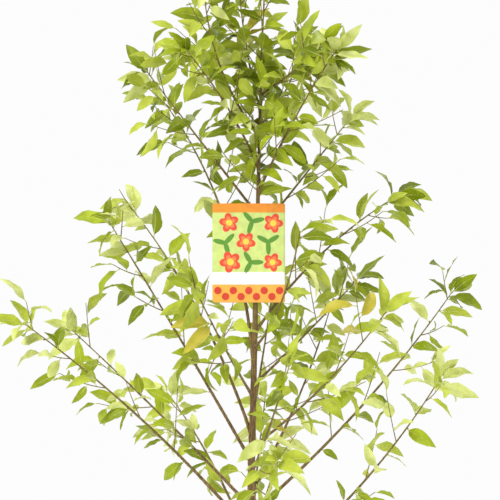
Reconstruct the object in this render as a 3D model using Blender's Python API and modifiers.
"""A young nectarine tree in a plain nursery pot, with a picture card hung on its trunk.

Metres, +Z up. The origin is the centre of the pot's flat underside. +X is to the right and -Y is
towards the viewer of the tree's front. Headings are degrees anticlockwise from +X, seen from above.
"""

import math
import random
from collections import namedtuple

import bmesh
import bpy
from mathutils import Matrix, Vector
from mathutils.bvhtree import BVHTree

UP = Vector((0, 0, 1))
SEAT_GAP = 0.0003

# The pot, a 10 litre nursery container, and the compost in it
POT_HEIGHT = 0.230
POT_TOP_RADIUS = 0.137
POT_FOOT_RADIUS = 0.108
POT_WALL = 0.0025
POT_FLOOR = 0.003
RIM_DEPTH = 0.020
RIM_PROUD = 0.004
SOIL_HEIGHT = 0.198
SOIL_DOME = 0.004
TURNED_STEPS = 36

# The trunk, from its flat cut at the compost to where its leading shoot begins
TRUNK_FOOT = SOIL_HEIGHT + SEAT_GAP
TRUNK_TOP = 1.455
TRUNK_FOOT_X = -0.008
TRUNK_LEAN = 0.030
TRUNK_SWAY = 0.004
TRUNK_RADIUS = 0.0098
TRUNK_TOP_RADIUS = 0.0026
ROOT_FLARE = 0.0045
ROOT_FLARE_HEIGHT = 0.018

# The leading shoot, which carries on from the trunk
LEADER_TIP = Vector((0.030, 0.010, 1.655))

# The boughs: height on the trunk, heading, how far out and how high the tip is, bow above the chord
Bough = namedtuple("Bough", "name base heading reach top bow")
BOUGHS = (
    Bough("right_lowest", 0.445, 342, 0.390, 0.870, -0.027),
    Bough("front_low", 0.470, 278, 0.375, 0.735, 0.020),
    Bough("back_low", 0.500, 85, 0.400, 0.795, 0.020),
    Bough("back_left", 0.530, 118, 0.380, 0.810, 0.020),
    Bough("left_low", 0.555, 193, 0.450, 0.975, 0.018),
    Bough("right_low", 0.590, 13, 0.425, 1.035, -0.020),
    Bough("left_low_inner", 0.605, 157, 0.400, 0.950, 0.005),
    Bough("right_low_back", 0.635, 53, 0.295, 1.030, -0.023),
    Bough("left_mid", 0.695, 211, 0.320, 1.175, 0.003),
    Bough("right_low_front", 0.670, 283, 0.310, 0.905, -0.006),
    Bough("right_mid_low", 0.725, 331, 0.295, 1.000, -0.015),
    Bough("left_mid_inner", 0.745, 151, 0.280, 1.200, 0.025),
    Bough("right_inner_back", 0.790, 81, 0.260, 1.025, -0.007),
    Bough("left_front", 0.825, 250, 0.325, 1.055, -0.006),
    Bough("right_back", 0.850, 42, 0.295, 1.060, -0.004),
    Bough("left_long", 0.875, 133, 0.270, 1.425, 0.057),
    Bough("right_front", 0.925, 288, 0.275, 1.155, -0.034),
    Bough("right_mid", 0.955, 23, 0.325, 1.235, 0.023),
    Bough("right_high_outer", 1.150, 32, 0.230, 1.395, 0.000),
    Bough("left_high", 1.190, 150, 0.265, 1.490, 0.000),
    Bough("right_high", 1.235, 313, 0.220, 1.505, 0.009),
    Bough("left_top", 1.285, 227, 0.200, 1.500, 0.012),
    Bough("top_left", 1.345, 203, 0.120, 1.645, -0.027),
    Bough("right_top_back", 1.370, 60, 0.175, 1.535, -0.018),
    Bough("top_mid", 1.400, 113, 0.110, 1.660, -0.014),
    Bough("right_top", 1.430, 316, 0.165, 1.515, -0.004),
)
LOW_BARE_SHARE = 0.30
HIGH_BARE_SHARE = 0.15
BOUGH_TIP_RADIUS = 0.0010
BOUGH_THIN_RADIUS = 0.0016
BOUGH_RADIUS_PER_LENGTH = 0.0034
COLLAR_SWELL = 0.45
COLLAR_LENGTH = 0.012

# The masses of leaves
SPACE_RADIUS = 0.130
LOW_NODE_STEP = 0.042
HIGH_NODE_STEP = 0.021
LEAF_TURN = math.radians(144)
TWIG_EVERY = 3
TWIG_LONG = 0.125
TWIG_SHORT = 0.050
TWIG_RADIUS = 0.0016
TWIG_TIP_SHARE = 0.7
TWIG_LEAF_STEP = 0.030
SPUR_LEAF = 0.062
SHOOT_LEAF = 0.078
TIP_LEAF = 0.080
TIP_LEAVES = 4
TIP_LEAF_STEP = 0.007
LEAF_UPWARD = 0.7
LEAF_WIDTH_SHARE = 0.46
LEAF_THICK_SHARE = 0.022
LEAF_SUNK_IN_TWIG = 0.0004
LEAF_SUNK_IN_STEM = 0.8
LEAF_CLEARANCE = 0.0009
AXIL_SHARE = 0.16

# The picture card, moulded with the collar that holds it on the trunk
CARD_WIDTH = 0.145
CARD_HEIGHT = 0.198
CARD_LEFT = -0.075
CARD_FOOT = 1.015
CARD_THICK = 0.0012
CARD_CORNER = 0.004
COLLAR_HEIGHT = 0.006
COLLAR_WALL = 0.0012
COLLAR_BELOW_TOP = 0.095
CARD_WINDOW_DEPTH = 0.400


def clear_scene():
    """Start from an empty scene."""
    for thing in list(bpy.data.objects):
        bpy.data.objects.remove(thing)


def new_collection(name):
    collection = bpy.data.collections.new(name)
    bpy.context.scene.collection.children.link(collection)
    return collection


def material(name, colour, roughness):
    """Principled BSDF with a base colour given in linear RGB."""
    made = bpy.data.materials.new(name)
    made.use_nodes = True
    shader = made.node_tree.nodes["Principled BSDF"]
    shader.inputs["Base Color"].default_value = (*colour, 1)
    shader.inputs["Roughness"].default_value = roughness
    shader.inputs["Metallic"].default_value = 0
    return made


def add_object(name, data, collection, finish=None):
    thing = bpy.data.objects.new(name, data)
    collection.objects.link(thing)
    if finish:
        data.materials.append(finish)
    return thing


def mesh_of(thing):
    """New mesh of an object as its modifiers or its bevel leave it, in world space."""
    bpy.context.view_layer.update()
    evaluated = thing.evaluated_get(bpy.context.evaluated_depsgraph_get())
    mesh = bpy.data.meshes.new_from_object(evaluated)
    mesh.transform(thing.matrix_world)
    return mesh


def tube_mesh(points, radii, bevel_resolution):
    """Closed tube through points, made from a bevelled poly curve with a radius at each point."""
    curve = bpy.data.curves.new("tube", "CURVE")
    curve.dimensions = "3D"
    curve.bevel_depth = 1
    curve.bevel_resolution = bevel_resolution
    curve.use_fill_caps = True
    spline = curve.splines.new("POLY")
    spline.points.add(len(points) - 1)
    for slot, point, radius in zip(spline.points, points, radii):
        slot.co = (*point, 1)
        slot.radius = radius
    thing = add_object("tube", curve, bpy.context.scene.collection)
    mesh = mesh_of(thing)
    bpy.data.objects.remove(thing)
    bpy.data.curves.remove(curve)
    form = bmesh.new()
    form.from_mesh(mesh)
    bmesh.ops.remove_doubles(form, verts=form.verts, dist=1e-6)
    bmesh.ops.recalc_face_normals(form, faces=form.faces)
    form.to_mesh(mesh)
    form.free()
    return mesh


def turned(name, profile, collection, finish):
    """Solid of revolution about Z from (radius, height) points."""
    form = bmesh.new()
    corners = [form.verts.new((radius, 0, height)) for radius, height in profile]
    for corner, following in zip(corners, corners[1:]):
        form.edges.new((corner, following))
    mesh = bpy.data.meshes.new(name)
    form.to_mesh(mesh)
    form.free()
    thing = add_object(name, mesh, collection, finish)
    screw = thing.modifiers.new("turn", "SCREW")
    screw.steps = TURNED_STEPS
    screw.render_steps = TURNED_STEPS
    screw.use_merge_vertices = True
    screw.merge_threshold = 1e-5
    return thing


def boolean(thing, operation, collection, solver="EXACT"):
    """Apply one Boolean with a whole collection to an object and return the new mesh."""
    cut = thing.modifiers.new(operation.lower(), "BOOLEAN")
    cut.operation = operation
    cut.operand_type = "COLLECTION"
    cut.collection = collection
    cut.solver = solver
    mesh = mesh_of(thing)
    thing.modifiers.clear()
    return mesh


def empty_collection(collection):
    """Remove a collection of cutters or pieces once it has been used."""
    for thing in list(collection.objects):
        bpy.data.objects.remove(thing)
    bpy.data.collections.remove(collection)


def trunk_axis(height):
    """Centre of the trunk at a height: it leans to the right and sways a little in depth."""
    rise = max(height - TRUNK_FOOT - ROOT_FLARE_HEIGHT, 0) / (TRUNK_TOP - TRUNK_FOOT)
    sway = TRUNK_SWAY * math.sin(1.5 * math.pi * rise)
    return Vector((TRUNK_FOOT_X + TRUNK_LEAN * rise, sway, height))


def trunk_radius(height):
    """Straight taper with a root flare that dies away upwards."""
    rise = (height - TRUNK_FOOT) / (TRUNK_TOP - TRUNK_FOOT)
    flare = ROOT_FLARE * math.exp(-(height - TRUNK_FOOT) / ROOT_FLARE_HEIGHT)
    return TRUNK_RADIUS + (TRUNK_TOP_RADIUS - TRUNK_RADIUS) * rise + flare


def trunk_mesh(extra=0):
    """Tapered tube up the trunk's axis, its radius larger by extra."""
    flare_heights = [TRUNK_FOOT + ROOT_FLARE_HEIGHT * share for share in (0, 0.25, 0.6, 1.0, 2.0)]
    rings = 16
    start = flare_heights[-1]
    heights = flare_heights + [
        start + (TRUNK_TOP - start) * ring / rings for ring in range(1, rings + 1)
    ]
    points = [trunk_axis(height) for height in heights]
    radii = [trunk_radius(height) + extra for height in heights]
    return tube_mesh(points, radii, 4)


def bough_point(bough, share):
    """Point at a share of the way along a bough: a quadratic curve bowed up or down from its chord."""
    base = trunk_axis(bough.base)
    heading = math.radians(bough.heading)
    tip = base + Vector((math.cos(heading), math.sin(heading), 0)) * bough.reach
    tip.z = bough.top
    chord = tip - base
    rise = (UP - chord * chord.z / chord.length_squared).normalized()
    handle = (base + tip) / 2 + rise * 2 * bough.bow
    return base * (1 - share) ** 2 + handle * 2 * share * (1 - share) + tip * share**2


def crown_rise(height):
    """Share of the way up from the lowest bough to the trunk's top."""
    return (height - BOUGHS[0].base) / (TRUNK_TOP - BOUGHS[0].base)


def bare_share(bough):
    """Share of a bough that is bare wood: less of it towards the top of the crown."""
    return LOW_BARE_SHARE + (HIGH_BARE_SHARE - LOW_BARE_SHARE) * crown_rise(bough.base)


def bough_length(bough):
    return (bough_point(bough, 1) - bough_point(bough, 0)).length


def bough_radius(bough, share):
    """One taper from the trunk to the tip, with a swollen collar at the trunk."""
    length = bough_length(bough)
    thick = BOUGH_THIN_RADIUS + BOUGH_RADIUS_PER_LENGTH * length
    along = share * length - trunk_radius(bough.base)
    collar = 1 + COLLAR_SWELL * math.exp(-max(along, 0) / COLLAR_LENGTH)
    return (BOUGH_TIP_RADIUS + (thick - BOUGH_TIP_RADIUS) * (1 - share)) * collar


def make_trunk(model, finish):
    return add_object("trunk", trunk_mesh(), model, finish)


def make_boughs(model, finish):
    """One tapering limb each, from a saddle cut on the trunk to where its leaves begin."""
    cutters = new_collection("cutters")
    add_object("trunk_cutter", trunk_mesh(SEAT_GAP), cutters)
    limbs = []
    for bough in BOUGHS:
        collar_end = (trunk_radius(bough.base) + COLLAR_LENGTH) / bough_length(bough)
        bare = bare_share(bough)
        shares = (0, collar_end * 0.6, collar_end * 1.3, (collar_end * 1.3 + bare) / 2, bare)
        points = [bough_point(bough, share) for share in shares]
        radii = [bough_radius(bough, share) for share in shares]
        whole = add_object("whole_bough", tube_mesh(points, radii, 1), cutters)
        cutters.objects.unlink(whole)
        bpy.context.scene.collection.objects.link(whole)
        seated = main_body(boolean(whole, "DIFFERENCE", cutters))
        bpy.data.objects.remove(whole)
        limbs.append(add_object("bough_" + bough.name, seated, model, finish))
    empty_collection(cutters)
    return limbs


def main_body(mesh):
    """Keep only the largest connected body of a mesh, so sealed hollows are filled and scraps go."""
    form = bmesh.new()
    form.from_mesh(mesh)
    waiting = set(form.verts)
    bodies = []
    while waiting:
        edge = [waiting.pop()]
        body = set(edge)
        while edge:
            vert = edge.pop()
            for link in vert.link_edges:
                other = link.other_vert(vert)
                if other not in body:
                    body.add(other)
                    edge.append(other)
        waiting -= body
        bodies.append(body)
    largest = max(bodies, key=len)
    spare = [vert for vert in form.verts if vert not in largest]
    bmesh.ops.delete(form, geom=spare, context="VERTS")
    bmesh.ops.triangulate(form, faces=form.faces)
    form.to_mesh(mesh)
    form.free()
    return mesh


def is_closed(mesh):
    """True when every edge joins exactly two faces."""
    form = bmesh.new()
    form.from_mesh(mesh)
    closed = all(edge.is_manifold for edge in form.edges)
    form.free()
    return closed


def leaf_template():
    """Leaf one unit long from its root at the origin up +Z, eight faces, width along X."""
    form = bmesh.new()
    bmesh.ops.create_uvsphere(form, u_segments=4, v_segments=2, radius=0.5)
    for vert in form.verts:
        widest = abs(vert.co.z) < 0.1
        vert.co.z += 0.46 if widest else 0.5
    mesh = bpy.data.meshes.new("leaf")
    form.to_mesh(mesh)
    form.free()
    return mesh


def twig_template():
    """Three-sided twig one unit long up +Z and one unit in radius at its foot."""
    form = bmesh.new()
    bmesh.ops.create_cone(
        form, cap_ends=True, segments=3, radius1=1, radius2=TWIG_TIP_SHARE, depth=1,
        matrix=Matrix.Translation((0, 0, 0.5)),
    )
    bmesh.ops.triangulate(form, faces=form.faces)
    mesh = bpy.data.meshes.new("twig")
    form.to_mesh(mesh)
    form.free()
    return mesh


def aim(start, direction, facing):
    """Matrix that stands +Z along a direction from a start, with +Y as near as can be to facing."""
    along = direction.normalized()
    side = facing.cross(along).normalized()
    normal = along.cross(side)
    turn = Matrix((side, normal, along)).transposed().to_4x4()
    return Matrix.Translation(start) @ turn


def leaf_matrix(root, along, facing, length, sunk, grown=0, skipped=0):
    """Place of a leaf, which may be grown on all sides and shortened at its root for a test."""
    start = root - along * (sunk + grown - skipped * length)
    shown = length * (1 - skipped) + sunk + 2 * grown
    width = length * LEAF_WIDTH_SHARE + 2 * grown
    thick = length * LEAF_THICK_SHARE + 2 * grown
    return aim(start, along, facing) @ Matrix.Diagonal((width, thick, shown, 1))


def twig_matrix(root, along, length, grown=0, skipped=0):
    """Place of a side twig, which may be grown and shortened at its root for a test."""
    radius = TWIG_RADIUS + grown
    start = root + along * skipped * length
    return aim(start, along, UP) @ Matrix.Diagonal((radius, radius, length * (1 - skipped) + grown, 1))


def tree_of(mesh, matrix=None):
    """Search tree of a mesh's triangles, for the tests that keep pieces apart."""
    matrix = matrix or Matrix()
    corners = [matrix @ vert.co for vert in mesh.vertices]
    return BVHTree.FromPolygons(corners, [tuple(face.vertices) for face in mesh.polygons])


class Mass:
    """One mass of leaves: a stem, its side twigs and their leaves, inside its own space."""

    def __init__(self, name, stem, radii, others, templates):
        self.name = name
        self.stem = stem
        self.radii = radii
        self.others = others
        self.leaf, self.twig = templates
        self.twigs = []
        self.leaves = []
        self.own = []
        self.random = random.Random(name)

    def in_space(self, point):
        """Near enough to its own stem, above the pot's rim and not in front of the card."""
        near = min((point - place).length for place in self.stem) < SPACE_RADIUS
        beside = not CARD_LEFT - 0.01 < point.x < CARD_LEFT + CARD_WIDTH + 0.01
        above_or_below = not CARD_FOOT - 0.01 < point.z < CARD_FOOT + CARD_HEIGHT + 0.01
        behind = point.y > 0 or point.y < -CARD_WINDOW_DEPTH
        return near and (beside or above_or_below or behind)

    def clear_of_others(self, tree):
        return not any(tree.overlap(other) for other in self.others)

    def clear_of_own(self, tree):
        return not any(tree.overlap(own) for own in self.own)

    def add_twig(self, root, along, length):
        """Add a side twig unless it would leave the space or touch another limb or mass."""
        whole = tree_of(self.twig, twig_matrix(root, along, length, LEAF_CLEARANCE))
        outer = tree_of(self.twig, twig_matrix(root, along, length, LEAF_CLEARANCE, AXIL_SHARE))
        if not self.in_space(root + along * length) or not self.clear_of_others(whole):
            return False
        if not self.clear_of_own(outer):
            return False
        self.twigs.append(twig_matrix(root, along, length))
        self.own.append(tree_of(self.twig, twig_matrix(root, along, length)))
        return True

    def add_leaf(self, root, along, length, sunk=LEAF_SUNK_IN_TWIG):
        """Add a leaf unless it would leave the space, touch another mass or cross a sister leaf."""
        heading = self.random.uniform(0, math.tau)
        tilt = Vector((math.cos(heading), math.sin(heading), LEAF_UPWARD))
        facing = tilt - along * tilt.dot(along)
        place = (root, along, facing, length, sunk)
        whole = tree_of(self.leaf, leaf_matrix(*place, LEAF_CLEARANCE))
        blade = tree_of(self.leaf, leaf_matrix(*place, LEAF_CLEARANCE, AXIL_SHARE))
        if not self.in_space(root + along * length) or not self.clear_of_others(whole):
            return
        if not self.clear_of_own(blade):
            return
        self.leaves.append(leaf_matrix(*place))
        self.own.append(blade)

    def leaf_direction(self, along, turn, spread):
        """Direction that leaves a twig at an angle, turned about it, and droops a little."""
        side = along.orthogonal().normalized()
        side.rotate(Matrix.Rotation(turn, 3, along))
        out = along * math.cos(spread) + side * math.sin(spread)
        return (out - UP * self.random.uniform(0.05, 0.35)).normalized()

    def clothe_twig(self, root, direction, length):
        """Leaves up both sides of a side twig, the last one at its tip and nearly in line."""
        count = max(round(length / TWIG_LEAF_STEP), 2)
        turn = self.random.uniform(0, math.tau)
        for step in range(1, count + 1):
            place = root + direction * (length * step / count - 0.002)
            spread = math.radians(50 if step < count else 15)
            turn += LEAF_TURN
            size = SHOOT_LEAF * self.random.uniform(0.82, 1.12)
            self.add_leaf(place, self.leaf_direction(direction, turn, spread), size)

    def grow(self):
        """The rule: a leaf or a side twig at each node up the stem, then a rosette at its tip."""
        length = sum((b - a).length for a, b in zip(self.stem, self.stem[1:]))
        rise = crown_rise(self.stem[0].z)
        node_step = LOW_NODE_STEP + (HIGH_NODE_STEP - LOW_NODE_STEP) * rise
        count = max(int(length / node_step), 2)
        turn = self.random.uniform(0, math.tau)
        for node in range(count):
            share = (node + 0.7) / (count + 0.3)
            place, along = place_on(self.stem, share)
            sunk = LEAF_SUNK_IN_STEM * place_radius(self.radii, share)
            turn += LEAF_TURN + self.random.uniform(-0.3, 0.3)
            size = SPUR_LEAF * self.random.uniform(0.85, 1.2) * (1 + 0.25 * share)
            if node % TWIG_EVERY == 1:
                reach = TWIG_LONG + (TWIG_SHORT - TWIG_LONG) * share
                reach *= self.random.uniform(0.8, 1.15)
                direction = self.leaf_direction(along, turn, math.radians(48)) + UP * 0.25
                direction.normalize()
                if self.add_twig(place, direction, reach):
                    self.clothe_twig(place, direction, reach)
                    continue
            self.add_leaf(place, self.leaf_direction(along, turn, math.radians(55)), size, sunk)
        tip, along = place_on(self.stem, 1)
        for index in range(TIP_LEAVES):
            turn += LEAF_TURN
            place = tip - along * (0.001 + TIP_LEAF_STEP * index)
            spread = math.radians(8 + 14 * index)
            size = TIP_LEAF * self.random.uniform(0.85, 1.1)
            self.add_leaf(place, self.leaf_direction(along, turn, spread), size)

    def union(self, solver):
        """One Boolean union of the stem with all its twigs and leaves."""
        pieces = new_collection("pieces")
        for matrix in self.twigs:
            add_object("twig", self.twig, pieces).matrix_world = matrix
        for matrix in self.leaves:
            add_object("leaf", self.leaf, pieces).matrix_world = matrix
        core = add_object("stem", tube_mesh(self.stem, self.radii, 0), bpy.context.scene.collection)
        body = main_body(boolean(core, "UNION", pieces, solver))
        bpy.data.objects.remove(core)
        empty_collection(pieces)
        return body

    def fuse(self, model, finish):
        """Fuse the mass into one closed body, leaving out its last leaves if it can't be closed."""
        body = self.union("EXACT")
        if not is_closed(body):
            body = self.union("MANIFOLD")
        while not is_closed(body):
            self.leaves.pop()
            body = self.union("EXACT")
        return add_object("leaves_" + self.name, body, model, finish)


def place_radius(radii, share):
    """Radius at a share of the way along a stem's points."""
    at = min(share * (len(radii) - 1), len(radii) - 1.001)
    return radii[int(at)] + (radii[int(at) + 1] - radii[int(at)]) * (at - int(at))


def place_on(stem, share):
    """Point and direction at a share of the way along a stem's points."""
    at = min(share * (len(stem) - 1), len(stem) - 1.001)
    first = stem[int(at)]
    second = stem[int(at) + 1]
    return first.lerp(second, at - int(at)), (second - first).normalized()


def bough_stem(bough):
    """Points and radii of the stem that carries on from a bough's tip, 0.3 mm clear of it."""
    gap = SEAT_GAP / bough_length(bough)
    count = max(round(bough_length(bough) * 10), 3)
    foot = bare_share(bough) + gap
    shares = [foot + (1 - foot) * step / count for step in range(count + 1)]
    points = [bough_point(bough, share) for share in shares]
    return points, [bough_radius(bough, share) for share in shares]


def leader_stem():
    """Points and radii of the leading shoot, 0.3 mm above the trunk's top."""
    foot = trunk_axis(TRUNK_TOP)
    foot.z += SEAT_GAP
    above = foot + UP * 0.03
    points = [foot, above, above.lerp(LEADER_TIP, 0.5), LEADER_TIP]
    return points, [TRUNK_TOP_RADIUS, 0.0022, 0.0017, BOUGH_TIP_RADIUS]


def make_masses(model, finish, limbs):
    """Grow and fuse a mass on each bough and on the trunk's tip, each clear of the ones before."""
    templates = (leaf_template(), twig_template())
    bpy.context.view_layer.update()
    others = [tree_of(mesh_of(limb)) for limb in limbs]
    stems = {bough.name: bough_stem(bough) for bough in BOUGHS}
    stems["leader"] = leader_stem()
    cores = {}
    for name, (points, radii) in stems.items():
        mesh = tube_mesh(points, [radius + LEAF_CLEARANCE for radius in radii], 1)
        cores[name] = tree_of(mesh)
        bpy.data.meshes.remove(mesh)
    for name, (points, radii) in stems.items():
        stems_of_others = [tree for key, tree in cores.items() if key != name]
        mass = Mass(name, points, radii, others + stems_of_others, templates)
        mass.grow()
        done = mass.fuse(model, finish)
        others.append(tree_of(done.data))


def make_pot(model, finish):
    """Plain container: sloping wall, outward rim, flat underside."""
    slope = (POT_TOP_RADIUS - POT_FOOT_RADIUS) / POT_HEIGHT
    inner_foot = POT_FOOT_RADIUS + slope * POT_FLOOR - POT_WALL
    rim_foot = POT_HEIGHT - RIM_DEPTH
    wall_at_rim = POT_FOOT_RADIUS + slope * rim_foot
    rim_radius = POT_TOP_RADIUS + RIM_PROUD
    chamfer = 0.0015
    profile = (
        (0, POT_FLOOR),
        (inner_foot, POT_FLOOR),
        (POT_TOP_RADIUS - POT_WALL, POT_HEIGHT),
        (rim_radius - chamfer, POT_HEIGHT),
        (rim_radius, POT_HEIGHT - chamfer),
        (rim_radius, rim_foot),
        (wall_at_rim, rim_foot),
        (POT_FOOT_RADIUS + slope * chamfer, chamfer),
        (POT_FOOT_RADIUS - chamfer, 0),
        (0, 0),
    )
    return turned("pot", profile, model, finish)


def make_compost(model, finish):
    """Compost that fills the pot to a little under its rim, domed, with a flat where the trunk is."""
    slope = (POT_TOP_RADIUS - POT_FOOT_RADIUS) / POT_HEIGHT
    foot = POT_FLOOR + SEAT_GAP
    edge = SOIL_HEIGHT - SOIL_DOME

    def inside(height):
        return POT_FOOT_RADIUS + slope * height - POT_WALL - 2 * SEAT_GAP

    flat = 0.030
    profile = (
        (0, SOIL_HEIGHT),
        (flat, SOIL_HEIGHT),
        (0.6 * inside(edge), SOIL_HEIGHT - 0.25 * SOIL_DOME),
        (inside(edge), edge),
        (inside(foot), foot),
        (0, foot),
    )
    return turned("compost", profile, model, finish)


def make_card(model, finish):
    """Picture card with its collar round the trunk, fused into one moulded piece."""
    collar_middle = CARD_FOOT + CARD_HEIGHT - COLLAR_BELOW_TOP
    axis = trunk_axis(collar_middle)
    bore = trunk_radius(collar_middle - COLLAR_HEIGHT / 2) + 2 * SEAT_GAP
    outer = bore + COLLAR_WALL
    back = axis.y - outer + COLLAR_WALL / 2

    form = bmesh.new()
    bmesh.ops.create_cube(form, size=1, matrix=Matrix.Diagonal((CARD_WIDTH, CARD_THICK, CARD_HEIGHT, 1)))
    corners = [edge for edge in form.edges if abs((edge.verts[0].co - edge.verts[1].co).y) > 0]
    bmesh.ops.bevel(form, geom=corners, offset=CARD_CORNER, segments=2, profile=0.5, affect="EDGES")
    centre = Vector((CARD_LEFT + CARD_WIDTH / 2, back - CARD_THICK / 2, CARD_FOOT + CARD_HEIGHT / 2))
    bmesh.ops.translate(form, verts=form.verts, vec=centre)
    plate = bpy.data.meshes.new("plate")
    form.to_mesh(plate)
    form.free()

    form = bmesh.new()
    bmesh.ops.create_cone(form, cap_ends=True, segments=16, radius1=outer, radius2=outer, depth=COLLAR_HEIGHT)
    bmesh.ops.translate(form, verts=form.verts, vec=Vector((axis.x, axis.y, collar_middle)))
    band = bpy.data.meshes.new("band")
    form.to_mesh(band)
    form.free()

    form = bmesh.new()
    bmesh.ops.create_cone(form, cap_ends=True, segments=16, radius1=bore, radius2=bore, depth=3 * COLLAR_HEIGHT)
    bmesh.ops.translate(form, verts=form.verts, vec=Vector((axis.x, axis.y, collar_middle)))
    hole = bpy.data.meshes.new("hole")
    form.to_mesh(hole)
    form.free()

    bands = new_collection("bands")
    add_object("band", band, bands)
    holes = new_collection("holes")
    add_object("hole", hole, holes)
    card = add_object("picture_card", plate, bpy.context.scene.collection)
    joined = boolean(card, "UNION", bands)
    card.data = joined
    cut = main_body(boolean(card, "DIFFERENCE", holes))
    bpy.data.objects.remove(card)
    empty_collection(bands)
    empty_collection(holes)
    return add_object("picture_card", cut, model, finish)


def main():
    clear_scene()
    model = new_collection("nectarine_tree")
    bark = material("bark", (0.22, 0.15, 0.08), 0.75)
    leaf = material("leaf", (0.30, 0.42, 0.08), 0.5)
    plastic = material("pot_plastic", (0.02, 0.02, 0.022), 0.45)
    earth = material("compost", (0.05, 0.03, 0.018), 0.95)
    printed = material("printed_card", (0.80, 0.45, 0.20), 0.35)
    pot = make_pot(model, plastic)
    compost = make_compost(model, earth)
    trunk = make_trunk(model, bark)
    card = make_card(model, printed)
    boughs = make_boughs(model, bark)
    make_masses(model, leaf, [pot, compost, trunk, card, *boughs])


main()
